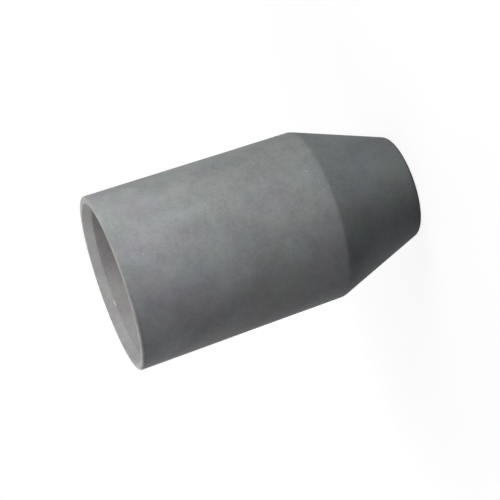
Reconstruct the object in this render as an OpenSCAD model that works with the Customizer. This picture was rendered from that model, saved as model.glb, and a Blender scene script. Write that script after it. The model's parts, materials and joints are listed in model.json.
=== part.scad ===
// Ceramic shield cup for a hand-held plasma torch, in millimetres.
// It is pressed, fired and ground as one piece, and every surface turns about one axis.
// It stands nose down: z = 0 is the flat nose face, and +Z runs up the axis to the open mouth.

/* [Body and rim] */
// Smooth bore at the mouth, which slides over the torch head's sealing ring
seal_bore_d = 26.2; // [22:0.1:32]
// Wall around the seal bore, at the rim
mouth_wall = 1.9; // [1.4:0.05:4]
// How much the draft narrows the body on each side, from the rim to the nose cone
body_draft = 0.4; // [0:0.05:1]
// Length of the long body, from the rim down to the nose cone
body_length = 36.5; // [30:0.1:60]
// Depth of the seal bore's end below the rim
seal_bore_depth = 8.0; // [4:0.1:12]
// How much the lead-in opens the mouth on each side
lead_in_width = 0.75; // [0.2:0.05:1]
// Depth of the lead-in below the rim
lead_in_depth = 1.5; // [0.6:0.1:3]

/* [Thread] */
// How far the thread's root stands inside the seal bore, on each side
thread_step = 0.5; // [0.2:0.05:1.5]
// Length of the threaded wall
thread_length = 12.0; // [6:0.1:14]
// Width of the relief groove below the thread
relief_width = 2.0; // [1:0.1:3]
// Depth of the relief groove beyond the thread's root
relief_depth = 0.4; // [0.2:0.05:0.8]
// Width of the ledge below the thread, from its root in to the gas chamber
ledge_width = 1.6; // [0.8:0.1:2.6]

/* [Nose] */
// Length of the nose cone
nose_length = 15.9; // [13:0.1:18]
// Thickness of the nose cone's wall, square to its surface
cone_wall = 3.4; // [3:0.1:4.4]
// Diameter of the orifice
orifice_d = 11.0; // [8:0.1:14]
// Length of the orifice, from the nose face up to the tip seat
orifice_length = 3.2; // [2:0.1:4]
// Width of the flat seat around the orifice that the torch tip's flange rests on
seat_width = 1.5; // [1:0.1:2]
// Width of the nose around the orifice, out to where the cone would meet the nose face
nose_rim = 3.2; // [2.6:0.1:3.6]

/* [Edges and blends] */
// Radius that blends the body into the nose cone
shoulder_blend = 2.5; // [0.5:0.1:8]
// Radius on the outer edge of the nose face
nose_edge = 1.0; // [0.2:0.1:1.6]
// Radius on the orifice's edge at the nose face
orifice_edge = 0.5; // [0.1:0.05:1]
// Radius on the outer edge of the rim
rim_outer_edge = 0.4; // [0.1:0.05:0.5]
// Radius on the inner edge of the rim
rim_inner_edge = 0.25; // [0.05:0.05:0.4]
// Radius on the small edges and corners inside
small_edge = 0.25; // [0.05:0.05:0.4]
// Radius that blends the inner cone into the chamber above it and the tip pocket below it
inner_blend = 1.5; // [0.3:0.1:4]

/* [Hidden] */
$fn = 180;

// Largest turn between two points of a rounded corner, in degrees
arc_step = 3;
// Share of a corner's shorter side that its rounding may take
blend_share = 0.45;

// Diameters inside, each from the bore above it
lead_in_d = seal_bore_d + 2 * lead_in_width;
thread_root_d = seal_bore_d - 2 * thread_step;
relief_d = thread_root_d + 2 * relief_depth;
chamber_d = thread_root_d - 2 * ledge_width;
tip_pocket_d = orifice_d + 2 * seat_width;

// Diameters outside, each from the bore inside it
mouth_od = seal_bore_d + 2 * mouth_wall;
shoulder_od = mouth_od - 2 * body_draft;
nose_od = orifice_d + 2 * nose_rim;

// Heights above the nose face, down the inside from the rim
rim_z = nose_length + body_length;
seal_top_z = rim_z - lead_in_depth;
seal_end_z = rim_z - seal_bore_depth;
thread_top_z = seal_end_z - thread_step;
thread_end_z = thread_top_z - thread_length;
relief_top_z = thread_end_z - relief_depth;
ledge_z = relief_top_z - relief_width;

// The inner cone runs parallel to the outer one, a wall's thickness inside it
cone_slope = (shoulder_od - nose_od) / 2 / nose_length;
cone_inset = cone_wall * sqrt(1 + cone_slope * cone_slope);
function inner_cone_z(r) = (r + cone_inset - nose_od / 2) / cone_slope;
chamber_end_z = inner_cone_z(chamber_d / 2);
pocket_top_z = inner_cone_z(tip_pocket_d / 2);

// Corners of half the section, each as [diameter, height, rounding radius],
// up the outside from the nose and then down the inside from the rim
outer_corners = [
    [nose_od, 0, nose_edge],
    [shoulder_od, nose_length, shoulder_blend],
    [mouth_od, rim_z, rim_outer_edge]
];
seal_corners = [
    [lead_in_d, rim_z, rim_inner_edge],
    [seal_bore_d, seal_top_z, small_edge],
    [seal_bore_d, seal_end_z, small_edge]
];
thread_corners = [
    [thread_root_d, thread_top_z, small_edge],
    [thread_root_d, thread_end_z, small_edge],
    [relief_d, relief_top_z, small_edge],
    [relief_d, ledge_z, small_edge]
];
chamber_corners = [
    [chamber_d, ledge_z, small_edge],
    [chamber_d, chamber_end_z, inner_blend],
    [tip_pocket_d, pocket_top_z, inner_blend]
];
nose_corners = [
    [tip_pocket_d, orifice_length, small_edge],
    [orifice_d, orifice_length, small_edge],
    [orifice_d, 0, orifice_edge]
];

// Points of the arc that rounds corner b of the path a-b-c, from the a side to the c side
function rounded(a, b, c, radius) =
    let (
        to_a = (a - b) / norm(a - b),
        to_c = (c - b) / norm(c - b),
        half = acos(to_a * to_c) / 2,
        room = blend_share * min(norm(a - b), norm(c - b)),
        setback = min(radius / tan(half), room),
        r = setback * tan(half),
        middle = b + (to_a + to_c) / norm(to_a + to_c) * setback / cos(half),
        from = b + to_a * setback - middle,
        turn = 180 - 2 * half,
        way = sign(cross(from, b + to_c * setback - middle)),
        steps = max(2, ceil(turn / arc_step)),
        start = atan2(from.y, from.x)
    )
    [for (i = [0:steps])
        let (angle = start + way * turn * i / steps)
        middle + r * [cos(angle), sin(angle)]];

// A closed outline with every corner rounded
function rounded_outline(corners) =
    let (
        n = len(corners),
        points = [for (c = corners) [c[0] / 2, c[1]]]
    )
    [for (i = [0:n - 1])
        each rounded(points[(i + n - 1) % n], points[i], points[(i + 1) % n], corners[i][2])];

module shield_cup() {
    section = concat(outer_corners, seal_corners, thread_corners, chamber_corners, nose_corners);
    color([0.55, 0.56, 0.56])
        rotate_extrude()
            polygon(rounded_outline(section));
}

shield_cup();
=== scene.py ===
# %% [markdown]
# A ceramic shield cup
#
# The cup goes over the front of a hand-held plasma torch. It holds the torch's tip,
# guides the shielding gas and keeps the hot end off the work. It is one piece of
# grey, unglazed ceramic. Such cups are pressed and fired, and this one is taken to
# be ground where it has to fit.
#
# The CAD model already has its shape: body, nose cone, seal bore, gas chamber and
# orifice. This script leaves that shape alone. It gives the ceramic its look, adds
# the ridge of the internal thread, and sets the cup in a small white studio.
# Everything is in metres, in the CAD model's own frame: the cup stands on its nose
# at z = 0 and opens upwards along +Z. The cup's sizes are written in millimetres
# and multiplied by MM.

# %% Load the CAD model
import json
import math

import bpy
from mathutils import Matrix, Vector


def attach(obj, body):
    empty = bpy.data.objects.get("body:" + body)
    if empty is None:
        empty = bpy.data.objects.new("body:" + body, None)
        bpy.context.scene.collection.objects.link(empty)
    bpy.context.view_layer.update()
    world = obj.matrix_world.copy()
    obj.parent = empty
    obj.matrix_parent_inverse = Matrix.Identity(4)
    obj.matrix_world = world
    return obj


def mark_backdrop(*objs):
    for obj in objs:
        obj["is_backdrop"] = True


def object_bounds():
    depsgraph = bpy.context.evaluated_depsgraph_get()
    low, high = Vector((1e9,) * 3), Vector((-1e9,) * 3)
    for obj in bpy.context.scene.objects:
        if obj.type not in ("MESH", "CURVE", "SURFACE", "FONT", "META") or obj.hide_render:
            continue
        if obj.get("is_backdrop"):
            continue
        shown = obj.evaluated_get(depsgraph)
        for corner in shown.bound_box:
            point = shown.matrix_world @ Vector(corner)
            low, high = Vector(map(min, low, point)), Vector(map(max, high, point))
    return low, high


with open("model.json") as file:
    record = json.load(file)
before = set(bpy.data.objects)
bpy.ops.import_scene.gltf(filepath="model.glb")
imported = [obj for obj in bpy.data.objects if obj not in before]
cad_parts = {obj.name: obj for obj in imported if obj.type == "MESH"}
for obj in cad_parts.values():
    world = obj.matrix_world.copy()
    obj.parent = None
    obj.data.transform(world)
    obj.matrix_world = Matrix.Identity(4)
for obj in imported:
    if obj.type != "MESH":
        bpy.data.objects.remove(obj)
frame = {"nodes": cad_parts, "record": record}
cad_low, cad_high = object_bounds()
MM = 0.001
cup = frame["nodes"]["shield_cup"]
mounts = {mount["name"]: mount for mount in frame["record"]["mounts"]}
RIM_Z = (cad_high.z - cad_low.z) / MM
print("cup", [round(side / MM, 2) for side in cad_high - cad_low], "mm")

# %% [markdown]
# The camera is the photograph's. It looks past the rim into the mouth from a
# little above the rim's plane, and it is rolled, so the standing cup lies across
# the picture with its mouth at the lower left. Two angles, a distance and a point
# describe it better than a position does: how high the camera stands, how far it
# is rolled, how far away it is, and what the middle of the picture looks at.

# %% The camera
CAMERA_LENS = 124.6
CAMERA_ELEVATION = math.radians(12.93)
CAMERA_ROLL = math.radians(108.8)
CAMERA_DISTANCE = 288.9 * MM
CAMERA_AIM = Vector((-2.1, 0, 28.37)) * MM
# In metres
NEAREST_SEEN = 0.01
FARTHEST_SEEN = 10


def add_camera():
    """The photograph's camera: level, tilted down by its elevation, then rolled."""
    made = bpy.data.objects.new("camera", bpy.data.cameras.new("camera"))
    made.data.lens = CAMERA_LENS
    made.data.clip_start = NEAREST_SEEN
    made.data.clip_end = FARTHEST_SEEN
    tilt = Matrix.Rotation(math.pi / 2 - CAMERA_ELEVATION, 4, "X")
    roll = Matrix.Rotation(-CAMERA_ROLL, 4, "Z")
    back = Vector((0, -math.cos(CAMERA_ELEVATION), math.sin(CAMERA_ELEVATION)))
    made.matrix_world = Matrix.Translation(CAMERA_AIM + back * CAMERA_DISTANCE) @ tilt @ roll
    bpy.context.scene.collection.objects.link(made)
    bpy.context.scene.camera = made
    return made


camera = add_camera()
print("camera at", [round(value / MM, 1) for value in camera.location], "mm")

# %% [markdown]
# Materials, the background and Geometry Nodes are all trees of nodes, and most of
# a tree is arithmetic, which reads best as Python. A Wire is a node's output.
# Writing `1 - mask * 0.5` with wires adds the Math nodes that work it out. Every
# other node comes from one method, `Tree.node`: it takes the node's type, its
# settings, and the values or wires of its sockets by their identifiers.

# %% Wires and trees
class Wire:
    """A node's output, on which Python's operators add Math nodes."""

    def __init__(self, tree, socket):
        self.tree = tree
        self.socket = socket

    def __add__(self, other):
        return self.tree.math("ADD", self, other)

    def __radd__(self, other):
        return self.tree.math("ADD", other, self)

    def __sub__(self, other):
        return self.tree.math("SUBTRACT", self, other)

    def __rsub__(self, other):
        return self.tree.math("SUBTRACT", other, self)

    def __mul__(self, other):
        return self.tree.math("MULTIPLY", self, other)

    def __rmul__(self, other):
        return self.tree.math("MULTIPLY", other, self)

    def __truediv__(self, other):
        return self.tree.math("DIVIDE", self, other)

    def __rtruediv__(self, other):
        return self.tree.math("DIVIDE", other, self)

    def __abs__(self):
        return self.tree.math("ABSOLUTE", self)


class Tree:
    """A node tree that is built node by node."""

    def __init__(self, node_tree):
        self.nodes = node_tree.nodes
        self.links = node_tree.links

    def feed(self, socket, value):
        """Link a wire to a socket, or set the socket's own value."""
        if isinstance(value, Wire):
            self.links.new(value.socket, socket)
        else:
            socket.default_value = value

    def node(self, kind, settings=None, inputs=None, output=None):
        """Add a node, make its settings, feed its sockets and return one output."""
        made = self.nodes.new(kind)
        for name, value in (settings or {}).items():
            setattr(made, name, value)
        for socket in made.inputs:
            if socket.identifier in (inputs or {}):
                self.feed(socket, inputs[socket.identifier])
        for socket in made.outputs:
            if output in (None, socket.identifier):
                return Wire(self, socket)

    def math(self, operation, first, second=0.0):
        """A Math node on one or two numbers or wires."""
        inputs = {"Value": first, "Value_001": second}
        return self.node("ShaderNodeMath", {"operation": operation}, inputs)

    def vector(self, operation, first, second=(0, 0, 0)):
        """A Vector Math node. LENGTH gives a number, and the others give a vector."""
        inputs = {"Vector": first, "Vector_001": second}
        output = "Value" if operation == "LENGTH" else "Vector"
        return self.node("ShaderNodeVectorMath", {"operation": operation}, inputs, output)


print("wires and trees ready")

# %% [markdown]
# A material is such a tree around the Principled shader. These few helpers say
# what the ceramic needs in its own words: noise of a size in millimetres, a step
# or a band on a measure, a tint, and a mark round a point.

# %% A material's own helpers
class Finish(Tree):
    """One material, with what its patterns are measured from."""

    def __init__(self, name):
        self.material = bpy.data.materials.new(name)
        self.material.use_nodes = True
        super().__init__(self.material.node_tree)
        self.shader = self.nodes["Principled BSDF"].inputs
        self.place = self.node("ShaderNodeTexCoord", output="Object")

    def noise(self, size, detail=2.0, seed=0.0, rough=0.55, place=None):
        """Soft noise of about -1 to 1, with features about size millimetres wide."""
        scale = 1 / (size * MM)
        inputs = {"Vector": place or self.place, "Scale": (scale, scale, scale)}
        inputs["Location"] = (seed, seed, seed)
        scaled = self.node("ShaderNodeMapping", None, inputs)
        inputs = {"Vector": scaled, "Scale": 1.0, "Detail": detail, "Roughness": rough}
        # The node itself stays mostly between 0.25 and 0.75
        return self.node("ShaderNodeTexNoise", None, inputs, "Fac") * 4 - 2

    def step(self, level, low, high):
        """0 below low, 1 above high, and a smooth rise between."""
        inputs = {"Value": level, "From Min": low, "From Max": high}
        return self.node("ShaderNodeMapRange", {"interpolation_type": "SMOOTHSTEP"}, inputs)

    def band(self, level, middle, reach):
        """1 where level is at middle, and 0 beyond its reach on either side."""
        return 1 - self.step(abs(level - middle), 0.0, reach)

    def mix(self, factor, first, second, blend="MIX"):
        """Two colours mixed by a factor of 0 to 1."""
        inputs = {"Factor_Float": factor, "A_Color": first, "B_Color": second}
        settings = {"data_type": "RGBA", "blend_type": blend}
        return self.node("ShaderNodeMix", settings, inputs, "Result_Color")

    def tinted(self, colour, tint):
        """A colour multiplied by a tint."""
        return self.mix(1.0, colour, tint, "MULTIPLY")

    def grey(self, level):
        """A colour whose three parts are the same level."""
        inputs = {"Red": level, "Green": level, "Blue": level}
        return self.node("ShaderNodeCombineColor", None, inputs)

    def spot(self, centre, radius, length):
        """1 at a point and 0 past a radius, or past half a length along Z, in mm."""
        squeeze = (1, 1, 2 * radius / length)
        offset = self.vector("SUBTRACT", self.place, centre)
        away = self.vector("LENGTH", self.vector("MULTIPLY", offset, squeeze))
        return 1 - self.step(away, 0.0, radius * MM)

    def bump(self, level, height):
        """Stand the surface out by level times a height in millimetres."""
        inputs = {"Height": level, "Distance": height * MM, "Strength": 1.0}
        self.feed(self.shader["Normal"], self.node("ShaderNodeBump", None, inputs))


print("finish helpers ready")

# %% [markdown]
# The ceramic looks plain from arm's length, but it isn't flat. The fired body is
# cloudy, its tint drifts at random a little towards green and towards purple, and a
# fine grain shows close to. A painted tint of the light makes the lit +X side
# greener and the shaded side purpler. One faint ring runs round the body, and the
# shoulder where the cone begins is a little paler. The rim, the seal bore and the
# nose face are taken to be ground, so they carry fine rings round the axis.
#
# Each of these needs to know where on the cup a point is. Its height and its
# distance from the axis say nearly all of it, so a finish of the cup works those
# out once. A mark needs a place on the surface as well. A ray cast at a height and
# an angle finds it on the CAD model, so a mark can't float off the cup.

# %% Places on the cup
SHOULDER_Z = 15.9
ABOVE_SHOULDER_Z = SHOULDER_Z + 1
NOSE_EDGE_Z = 1.1
RING_Z = 25.85
RIM_INNER_EDGE = 0.25
RIM_OUTER_R = cad_high.x / MM
seal_mount = mounts["seal_bore"]
SEAL_END_Z = seal_mount["pos_m"][2] / MM - seal_mount["dims"]["length_mm"] / 2


def on_cup(z, angle, inner=False):
    """A point of the outer or inner wall, at a height in mm and an angle from -Y towards +X."""
    turn = math.radians(angle)
    outwards = Vector((math.sin(turn), -math.cos(turn), 0))
    axis_point = Vector((0, 0, z * MM))
    if inner:
        return cup.ray_cast(axis_point, outwards)[1]
    # A whole metre outwards is well clear of the cup
    return cup.ray_cast(axis_point + outwards, -outwards)[1]


RIM_INNER_R = on_cup(RIM_Z - RIM_INNER_EDGE, 0, inner=True).xy.length / MM
BODY_R = on_cup(ABOVE_SHOULDER_Z, 0).xy.length / MM
NOSE_R = on_cup(NOSE_EDGE_Z, 0).xy.length / MM
CONE_SLOPE = (BODY_R - NOSE_R) / (SHOULDER_Z - NOSE_EDGE_Z)
print("rim radius inside", round(RIM_INNER_R, 2), "and outside", round(RIM_OUTER_R, 2), "mm")
print("outer radius at the nose and on the body", round(NOSE_R, 2), round(BODY_R, 2), "mm")

# %% [markdown]
# A zone is a part of the cup that looks different: the inside, the cone, the rim's
# edges and face, the faces that are ground. Painted masks could mark them, but a
# zone that is worked out from height and radius needs no picture and has no seam.
# Each fades in over a short distance, so no hard line shows.

# %% A finish that knows the cup
# Where each zone begins and is complete, or how far it blends, in millimetres
INSIDE_DEPTH = (0.9, 1.2)
INSIDE_HEIGHT = (0.1, 0.6)
RIM_EDGES_BELOW = (0.5, 0.2)
RIM_FACE_BELOW = (0.06, 0.02)
RIM_ROUND_WITHIN = (0.4, 0.15)
NOSE_FACE_HEIGHT = (0.02, 0.06)
SHOULDER_BLEND = 0.4
SEAL_END_BLEND = 0.1


class CupFinish(Finish):
    """A finish with the cup's own measures, in millimetres, and its zones, each 0 to 1."""

    def __init__(self, name):
        super().__init__(name)
        self.x = self.node("ShaderNodeSeparateXYZ", None, {"Vector": self.place}, "X") / MM
        self.z = self.node("ShaderNodeSeparateXYZ", None, {"Vector": self.place}, "Z") / MM
        self.radius = self.vector("LENGTH", self.vector("MULTIPLY", self.place, (1, 1, 0))) / MM

        outer_radius = self.math("MINIMUM", (self.z - NOSE_EDGE_Z) * CONE_SLOPE + NOSE_R, BODY_R)
        deep_enough = self.step(outer_radius - self.radius, *INSIDE_DEPTH)
        self.inside = deep_enough * self.step(self.z, *INSIDE_HEIGHT)
        self.cone = 1 - self.above(self.z, SHOULDER_Z, SHOULDER_BLEND)
        self.rim_edges = self.close_to(self.z, RIM_Z, RIM_EDGES_BELOW)
        self.rim_face = self.close_to(self.z, RIM_Z, RIM_FACE_BELOW)
        outer_edge = self.close_to(self.radius, RIM_OUTER_R, RIM_ROUND_WITHIN)
        self.rim_round = self.rim_edges * outer_edge
        nose_face = 1 - self.step(self.z, *NOSE_FACE_HEIGHT)
        seal = self.inside * self.above(self.z, SEAL_END_Z, SEAL_END_BLEND)
        self.ground = self.math("MAXIMUM", self.math("MAXIMUM", nose_face, self.rim_face), seal)

    def above(self, level, edge, blend):
        """0 below an edge and 1 above it, with a blend on either side."""
        return self.step(level, edge - blend, edge + blend)

    def close_to(self, level, end, distances):
        """1 close to an end, rising between two distances before it."""
        start, full = distances
        return self.step(level, end - start, end - full)

    def rings(self, size, seed):
        """Noise of -1 to 1 that runs in rings round the axis."""
        inputs = {"X": self.radius * MM, "Z": self.z * MM}
        across = self.node("ShaderNodeCombineXYZ", None, inputs)
        return self.noise(size, seed=seed, place=across)


print("the seal bore ends at z", round(SEAL_END_Z, 2), "mm")

# %% [markdown]
# The marks are few, so each has a line: its height and angle on the cup, its
# radius, its length up the cup, and how much paler (above 0) or darker it is. The
# small ones are pits and scuffs, and the brightest one inside is a painted glint.
# The broad ones come from comparing the render with the photograph, so some are
# clouds in the ceramic, and some are painted light and shade that only make up for
# light that the lamps don't give as the photograph has it.

# %% Marks
# Each mark: height, angle, radius, length, change
PITS = [
    (31.57, 56.9, 0.28, 0.56, -0.45),
    (32.53, 31.2, 0.30, 0.60, -0.25),
    (48.17, 10.4, 0.24, 0.48, 0.35),
    (18.35, 28.6, 0.36, 0.72, 0.35),
    (19.00, 29.0, 0.24, 1.50, 0.12),
    (22.55, 26.2, 0.22, 0.44, 0.20),
    (21.95, 26.8, 0.22, 0.44, 0.18),
    (23.00, 15.4, 0.22, 0.44, 0.18),
]
SCUFFS = [
    (17.15, 20.2, 0.70, 0.90, 0.14),
    (16.85, 12.4, 0.50, 0.80, 0.12),
    (16.20, 5.0, 0.60, 0.70, 0.08),
    (25.40, 49.0, 1.20, 0.70, 0.14),
    (25.70, 32.2, 0.90, 0.60, 0.14),
    (25.10, 16.6, 0.90, 0.60, 0.10),
    (16.70, -13.5, 0.70, 1.00, -0.16),
    (16.50, -24.0, 0.50, 0.70, -0.10),
    (16.50, 33.0, 0.60, 0.80, -0.08),
]
BROAD_CLOUDS_AND_PAINTED_LIGHT = [
    # Painted highlight: a pale streak up the body at 26.5 degrees, where the light's sheen runs
    (41.0, 26.5, 1.9, 22.0, 0.10),
    (46.0, 58.0, 2.8, 4.5, 0.14),
    (47.5, 46.0, 1.6, 2.6, 0.05),
    (49.5, 33.0, 3.0, 6.0, 0.08),
    (40.2, 31.0, 2.5, 5.0, 0.08),
    (44.7, -5.0, 2.8, 7.0, 0.12),
    (41.0, -40.0, 3.5, 8.0, 0.10),
    (47.0, -56.0, 5.0, 10.0, 0.16),
    (35.0, -58.0, 4.0, 14.0, 0.12),
    (20.3, 30.0, 4.5, 10.0, 0.06),
    # Painted light: the cone paler at -50 degrees, where light bounced from beside the cone
    # falls
    (8.0, -50.0, 6.0, 18.0, 0.22),
    # Painted sheen: the cone paler at 68 degrees, where the white surroundings reflect at a
    # grazing angle
    (8.0, 68.0, 4.0, 15.0, 0.15),
    (41.3, 55.0, 4.0, 7.0, -0.14),
    (31.0, 62.0, 4.5, 22.0, -0.14),
    (27.0, 44.0, 7.0, 18.0, -0.07),
    (19.2, 52.0, 3.0, 6.0, -0.10),
    (24.0, -2.0, 4.0, 8.0, -0.07),
    # Painted shade: a darker band at -24 degrees across the shoulder, where the light falls off
    (18.5, -24.0, 3.5, 14.0, -0.12),
    (23.0, -56.0, 4.0, 10.0, -0.08),
    (51.8, 120.0, 13.0, 5.0, 0.30),
    (52.2, -40.0, 18.0, 1.6, -0.16),
]
INNER_MARKS_AND_GLINT = [
    # Painted glint: a bright line along the lead-in's lower edge, where the edge catches the
    # light
    (50.92, 194.5, 0.85, 0.22, 1.30),
    (50.2, 197.5, 0.16, 0.32, -0.35),
    (47.0, 215.0, 12.0, 16.0, 0.10),
]
print("marks", len(PITS) + len(SCUFFS) + len(BROAD_CLOUDS_AND_PAINTED_LIGHT) + len(INNER_MARKS_AND_GLINT))

# %% [markdown]
# The ceramic's colour is a product. The shade, a number of about 1, gathers all
# that makes a place paler or darker: clouds, grain, the ring, the shoulder, the
# rim, chips and marks, among them painted light, painted shade and a painted glint.
# The plain colour holds a grey for each zone, a slow drift in tint and a painted
# tint of the light. Keeping the two apart means that a mark can't change the tint,
# and a tint changes the brightness by no more than about 2%. The shine is weak and
# the surface rough, as unglazed ceramic is, and a few thousandths of a millimetre
# of relief break up the light.

# %% The ceramic's shade
# How much paler or darker each thing is, as a share of the plain colour
CLOUDS_CHANGE = 0.22
GRAIN_CHANGE = 0.065
SPECKS_CHANGE = 0.03
RING_PALER = 0.025
SHOULDER_PALER = 0.02
RIM_FACE_DARKER = 0.08
RIM_ROUND_DARKER = 0.12
CHIPS_DARKER = 0.18
RINGS_CHANGE = 0.04
# Where they are, in millimetres
RING_REACH = 0.7
SHOULDER_PALE_Z = SHOULDER_Z + 0.8
SHOULDER_REACH = 1.4
CHIP_REACH = 0.4


def add_marks(finish, shade, marks, inner=False):
    """A shade with a list of marks on the outer or inner wall added to it."""
    for height, angle, reach, length, change in marks:
        shade = shade + finish.spot(on_cup(height, angle, inner), reach, length) * change
    return shade


def ceramic_shade(finish, grain):
    """How much paler or darker than its plain colour the ceramic is, about 1."""
    clouds = finish.noise(size=7.0, detail=6.0, seed=3.1, rough=0.8)
    specks = finish.noise(size=0.2, detail=1.0, seed=8.8)
    patches = finish.step(finish.noise(size=2.4, detail=3.0, seed=7.7), low=-0.4, high=0.6)
    patchy = patches * (1 - finish.inside)
    shade = 1 + clouds * CLOUDS_CHANGE + grain * GRAIN_CHANGE + specks * SPECKS_CHANGE
    shade = shade + finish.band(finish.z, RING_Z, RING_REACH) * patchy * RING_PALER
    shoulder = finish.band(finish.z, SHOULDER_PALE_Z, SHOULDER_REACH)
    shade = shade + shoulder * patchy * SHOULDER_PALER
    shade = shade - finish.rim_face * RIM_FACE_DARKER - finish.rim_round * RIM_ROUND_DARKER
    inner_edge = finish.rim_edges * finish.band(finish.radius, RIM_INNER_R, CHIP_REACH)
    chips = finish.step(finish.noise(size=0.6, seed=6.1), low=0.2, high=0.7)
    shade = shade - inner_edge * chips * CHIPS_DARKER
    shade = shade + finish.rings(size=0.4, seed=2.2) * finish.ground * RINGS_CHANGE
    shade = add_marks(finish, shade, PITS + SCUFFS + BROAD_CLOUDS_AND_PAINTED_LIGHT)
    return add_marks(finish, shade, INNER_MARKS_AND_GLINT, inner=True)


print("rim darker by", RIM_FACE_DARKER, "on its face and", RIM_ROUND_DARKER, "on its round edge")

# %% The ceramic
BODY_GREY = (0.330, 0.342, 0.348, 1)
MOUTH_GREY = (0.331, 0.341, 0.352, 1)
CONE_GREY = (0.320, 0.342, 0.352, 1)
INNER_GREY = (0.344, 0.338, 0.340, 1)
RIM_GREY = (0.343, 0.341, 0.341, 1)
TINT_GREEN = (1.0, 1.022, 0.977, 1)
TINT_PURPLE = (1.0, 0.979, 1.023, 1)
TINT_COOL = (0.982, 1.011, 1.007, 1)
TINT_WARM = (1.018, 0.989, 0.993, 1)
# Heights between which the body's grey goes over into the mouth's
BODY_TO_MOUTH = (33.0, 42.0)
# Painted tint of the light: how far the lit +X side leans towards green, and the shaded side
# towards purple
LIT_SIDE_TINT = 0.4
CERAMIC_ROUGHNESS = 0.7
GRAIN_ROUGHER = 0.04
GROUND_SMOOTHER = 0.08
CERAMIC_SHINE = 0.12
RELIEF_HEIGHT = 0.004
GRAIN_RELIEF = 0.5
PORE_RELIEF = 0.5
GRINDING_RELIEF = 0.6


def ceramic_colour(finish):
    """The ceramic's plain colour, with its drift between green and purple, cool and warm, and a
    painted tint of the light that makes the lit +X side greener.
    """
    body = finish.mix(finish.step(finish.z, *BODY_TO_MOUTH), BODY_GREY, MOUTH_GREY)
    colour = finish.mix(finish.inside, finish.mix(finish.cone, body, CONE_GREY), INNER_GREY)
    colour = finish.mix(finish.rim_edges, colour, RIM_GREY)
    # Painted tint of the light: the lit +X side is made greener and the shaded side purpler
    side = finish.x / BODY_R * (1 - finish.inside)
    drift = finish.noise(size=6.0, seed=9.4) - side * LIT_SIDE_TINT
    hue = finish.step(drift, low=-0.8, high=0.8)
    colour = finish.tinted(colour, finish.mix(hue, TINT_GREEN, TINT_PURPLE))
    warmth = finish.step(finish.noise(size=5.0, seed=4.2), low=-0.7, high=0.7)
    return finish.tinted(colour, finish.mix(warmth, TINT_COOL, TINT_WARM))


def ceramic(name):
    """The cup's grey ceramic."""
    finish = CupFinish(name)
    grain = finish.noise(size=0.45, seed=1.3)
    shade = finish.grey(ceramic_shade(finish, grain))
    finish.feed(finish.shader["Base Color"], finish.tinted(ceramic_colour(finish), shade))
    roughness = CERAMIC_ROUGHNESS + grain * GRAIN_ROUGHER - finish.ground * GROUND_SMOOTHER
    finish.feed(finish.shader["Roughness"], roughness)
    finish.feed(finish.shader["Specular IOR Level"], CERAMIC_SHINE)
    grinding = finish.rings(size=0.25, seed=3.4) * finish.ground
    pores = finish.noise(size=0.16, detail=1.0, seed=5.5)
    relief = grain * GRAIN_RELIEF + pores * PORE_RELIEF + grinding * GRINDING_RELIEF
    finish.bump(relief, RELIEF_HEIGHT)
    return finish.material


cup_ceramic = ceramic("cup_ceramic")
cup.data.materials.clear()
cup.data.materials.append(cup_ceramic)
print("ceramic nodes", len(cup_ceramic.node_tree.nodes))

# %% [markdown]
# The cup is taken to screw onto the torch head, by a thread moulded in the ceramic.
# Its ridge is a rounded trapezoid carried along a helix, which is a rule, so
# Geometry Nodes make it: a Spiral gives the helix, a Quadrilateral with filleted
# corners gives the section, and Curve to Mesh sweeps one along the other. The
# sweep's scale falls away at both ends, so the ridge runs out into the wall. The
# ridge's foot is sunk a little into the wall, so no gap shows.

# %% The tree that makes the thread's ridge
RIDGE_SIZES = [
    "Bore radius", "Sink", "Height", "Base width", "Crest width", "Corner radius",
    "Pitch", "Turns", "Run-out turns", "Start height",
]
STEPS_PER_TURN = 96
CORNER_STEPS = 3
SHARP_ANGLE = math.radians(50)
CREST_INWARDS = (0, 0, math.radians(90))


def tree_input(tree, group, name, kind="NodeSocketFloat"):
    """A new named input of a tree, as a wire."""
    socket = group.interface.new_socket(name, in_out="INPUT", socket_type=kind)
    return tree.node("NodeGroupInput", output=socket.identifier)


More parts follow.
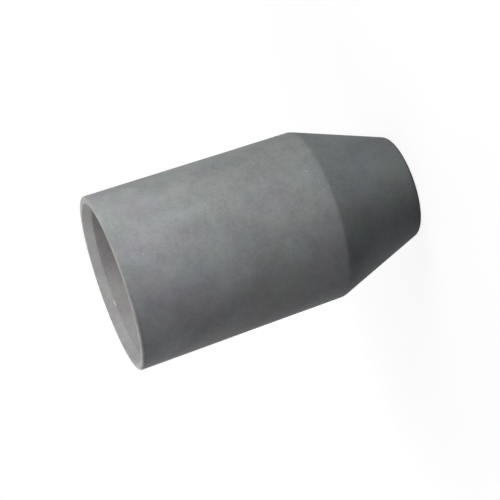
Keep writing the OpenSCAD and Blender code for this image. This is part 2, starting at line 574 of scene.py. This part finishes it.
def ridge_tree():
    """A tree that sweeps a rounded trapezoid along a helix inside a bore."""
    group = bpy.data.node_groups.new("helical_ridge", "GeometryNodeTree")
    tree = Tree(group)
    size = {name: tree_input(tree, group, name) for name in RIDGE_SIZES}
    material = tree_input(tree, group, "Material", "NodeSocketMaterial")
    result = group.interface.new_socket(
        "Geometry", in_out="OUTPUT", socket_type="NodeSocketGeometry")

    helix_radius = size["Bore radius"] + size["Sink"]
    helix = tree.node("GeometryNodeCurveSpiral", None, {
        "Resolution": STEPS_PER_TURN, "Rotations": size["Turns"],
        "Start Radius": helix_radius, "End Radius": helix_radius,
        "Height": size["Pitch"] * size["Turns"], "Reverse": True})
    helix = tree.node("GeometryNodeSetCurveNormal", {"mode": "Z_UP"}, {"Curve": helix})
    along = tree.node("GeometryNodeSplineParameter", output="Factor")
    turns_to_end = (1 - abs(along * 2 - 1)) * size["Turns"] / 2
    scale = tree.math("MINIMUM", turns_to_end / size["Run-out turns"], 1.0)

    ridge_height = size["Height"] + size["Sink"]
    section = tree.node("GeometryNodeCurvePrimitiveQuadrilateral", {"mode": "TRAPEZOID"}, {
        "Height": ridge_height, "Bottom Width": size["Base width"],
        "Top Width": size["Crest width"], "Offset": 0.0})
    section = tree.node("GeometryNodeFilletCurve", {"mode": "POLY"}, {
        "Curve": section, "Count": CORNER_STEPS, "Radius": size["Corner radius"],
        "Limit Radius": True})
    lift = tree.node("ShaderNodeCombineXYZ", None, {"X": ridge_height / -2})
    section = tree.node("GeometryNodeTransform", None, {
        "Geometry": section, "Translation": lift, "Rotation": CREST_INWARDS})

    ridge = tree.node("GeometryNodeCurveToMesh", None, {
        "Curve": helix, "Profile Curve": section, "Scale": scale, "Fill Caps": True})
    start = tree.node("ShaderNodeCombineXYZ", None, {"Z": size["Start height"]})
    ridge = tree.node("GeometryNodeTransform", None, {"Geometry": ridge, "Translation": start})
    edge_angle = tree.node("GeometryNodeInputMeshEdgeAngle", output="Unsigned Angle")
    sharp = tree.node("FunctionNodeCompare", {"operation": "GREATER_THAN"}, {
        "A": edge_angle, "B": SHARP_ANGLE})
    ridge = tree.node("GeometryNodeSetShadeSmooth", {"domain": "EDGE"}, {
        "Geometry": ridge, "Selection": sharp, "Shade Smooth": False})
    ridge = tree.node("GeometryNodeRealizeInstances", None, {"Geometry": ridge})
    ridge = tree.node("GeometryNodeSetMaterial", None, {"Geometry": ridge, "Material": material})
    tree.node("NodeGroupOutput", None, {result.identifier: ridge})
    return group


helical_ridge = ridge_tree()
print("ridge tree nodes", len(helical_ridge.nodes))

# %% [markdown]
# The tree knows no size of its own. The bore's radius, its place and its length come
# from the CAD model's mount for the thread, so the ridge follows its bore. The pitch
# and the section are chosen, because nothing shows them. The modifier's result is
# taken as a plain mesh, which rides on the cup's body like any other piece.

# %% The thread's ridge
thread_mount = mounts["torch_thread"]
THREAD_LENGTH = thread_mount["dims"]["length_mm"]
THREAD_PITCH = 1.5
RIDGE_BASE_WIDTH = 1.3
RIDGE_TURNS = (THREAD_LENGTH - RIDGE_BASE_WIDTH) / THREAD_PITCH


def run_tree(group, name, inputs):
    """A plain mesh object from a Geometry Nodes tree and its named inputs."""
    piece = bpy.data.objects.new(name, bpy.data.meshes.new(name))
    bpy.context.scene.collection.objects.link(piece)
    modifier = piece.modifiers.new(name, "NODES")
    modifier.node_group = group
    for item in group.interface.items_tree:
        if item.name in inputs:
            modifier[item.identifier] = inputs[item.name]
    evaluated = piece.evaluated_get(bpy.context.evaluated_depsgraph_get())
    mesh = bpy.data.meshes.new_from_object(evaluated)
    piece.modifiers.remove(modifier)
    piece.data = mesh
    return piece


thread_ridge = run_tree(helical_ridge, "thread_ridge", {
    "Bore radius": thread_mount["dims"]["r_mm"] * MM,
    "Sink": 0.1 * MM,
    "Height": 0.75 * MM,
    "Base width": RIDGE_BASE_WIDTH * MM,
    "Crest width": 0.42 * MM,
    "Corner radius": 0.14 * MM,
    "Pitch": THREAD_PITCH * MM,
    "Turns": RIDGE_TURNS,
    "Run-out turns": 0.3,
    "Start height": thread_mount["pos_m"][2] - RIDGE_TURNS * THREAD_PITCH / 2 * MM,
    "Material": cup_ceramic,
})
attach(thread_ridge, "root")
print("thread ridge:", round(RIDGE_TURNS, 2), "turns,", len(thread_ridge.data.polygons), "faces")

# %% [markdown]
# The floor is a wide sheet that looks as white as the background, so no horizon
# shows. The lamps light the cup at a plain level, at which such a floor is
# grey to the camera, so the floor glows in what the camera and mirrors see of it.
# Close to the cup the lamps do the rest, and the cup's soft shadow stays. Further
# out, where their light fades, the glow rises to plain white. The glow adds no
# diffuse light, but the cup's weak shine mirrors it, most of all along its edges.

# %% Floor and backdrop
# In metres
FLOOR_SIZE = 40.0
FLOOR_GREY = 0.14
FLOOR_ROUGHNESS = 0.9
NEAR_GLOW = (0.88, 0.88, 0.88, 1)
NEAR_REACH = 40 * MM
FAR_REACH = 130 * MM
WORLD_LIGHT = 0.03
WHITE = (1, 1, 1, 1)


def seen_ray(tree):
    """1 for rays from the camera, a mirror or through glass, and 0 for diffuse light."""
    camera_ray = tree.node("ShaderNodeLightPath", output="Is Camera Ray")
    glossy_ray = tree.node("ShaderNodeLightPath", output="Is Glossy Ray")
    glass_ray = tree.node("ShaderNodeLightPath", output="Is Transmission Ray")
    return tree.math("MINIMUM", camera_ray + glossy_ray + glass_ray, 1.0)


def add_floor():
    """A large flat sheet at z = 0."""
    mesh = bpy.data.meshes.new("floor")
    half = FLOOR_SIZE / 2
    corners = [(-half, -half, 0), (half, -half, 0), (half, half, 0), (-half, half, 0)]
    mesh.from_pydata(corners, [], [(0, 1, 2, 3)])
    floor = bpy.data.objects.new("floor", mesh)
    bpy.context.scene.collection.objects.link(floor)
    finish = Finish("floor_white")
    finish.feed(finish.shader["Base Color"], (FLOOR_GREY, FLOOR_GREY, FLOOR_GREY, 1))
    finish.feed(finish.shader["Roughness"], FLOOR_ROUGHNESS)
    finish.feed(finish.shader["Specular IOR Level"], 0.0)
    away = finish.vector("LENGTH", finish.place)
    glow = finish.mix(finish.step(away, NEAR_REACH, FAR_REACH), NEAR_GLOW, WHITE)
    finish.feed(finish.shader["Emission Color"], glow)
    finish.feed(finish.shader["Emission Strength"], seen_ray(finish))
    mesh.materials.append(finish.material)
    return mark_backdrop(floor)


def add_world():
    """White to the camera and in mirrors, and a weak even light on the cup."""
    world = bpy.data.worlds.new("studio")
    world.use_nodes = True
    tree = Tree(world.node_tree)
    backdrop = tree.nodes["Background"].inputs
    seen = seen_ray(tree)
    tree.feed(backdrop["Color"], WHITE)
    tree.feed(backdrop["Strength"], seen + (1 - seen) * WORLD_LIGHT)
    bpy.context.scene.world = world


add_floor()
add_world()
print("floor", FLOOR_SIZE, "m wide")

# %% [markdown]
# The light in the photograph is soft, and most of it comes from above and from the
# +X side, so the body goes from bright to dark across its width and the far side
# picks up a second, weaker light. Square lamps, 12 to 27 cm from what they face,
# give that. Each has its place, the point that it faces, its power in watts and its
# colour. The last three stand behind, so that the cup reads well from every side.

# %% Lamps
LAMP_SIZE = 80
MOUTH = (0, 0, 45)
MIDDLE = (0, 0, 26)

# Each lamp: name, place, point it faces, power, colour
LAMPS = [
    ("key", (71, -79, 99), MOUTH, 0.126, (1, 1, 1)),
    ("fill", (140, -200, 150), MOUTH, 0.036, (1, 1, 1)),
    ("front_left", (-70, -60, 120), MOUTH, 0.014, (1, 1, 1)),
    ("left", (-94, 17, 118), MOUTH, 0.036, (1.03, 1, 0.97)),
    ("top", (21, -5, 164), MIDDLE, 0.026, (1, 1, 1)),
    ("back_left", (-40, 60, 150), MOUTH, 0.011, (1, 1, 1)),
    ("back_right", (60, 100, 110), MOUTH, 0.024, (1, 1, 1)),
    ("back", (-30, 150, 60), MIDDLE, 0.080, (1, 1, 1)),
]


def add_lamp(name, place, aim, power, colour):
    """A square soft lamp at place that faces aim, both in millimetres, unseen itself."""
    lamp = bpy.data.objects.new(name, bpy.data.lights.new(name, "AREA"))
    lamp.data.shape = "SQUARE"
    lamp.data.size = LAMP_SIZE * MM
    lamp.data.energy = power
    lamp.data.color = colour
    place, aim = Vector(place) * MM, Vector(aim) * MM
    lamp.location = place
    lamp.rotation_euler = (aim - place).to_track_quat("-Z", "Y").to_euler()
    lamp.visible_camera = False
    bpy.context.scene.collection.objects.link(lamp)


for lamp_values in LAMPS:
    add_lamp(*lamp_values)
print("lamps", len(LAMPS))

# %% [markdown]
# The view transform is set to Standard, so a colour shows about as it is written.

# %% Colours as written
bpy.context.scene.view_settings.view_transform = "Standard"
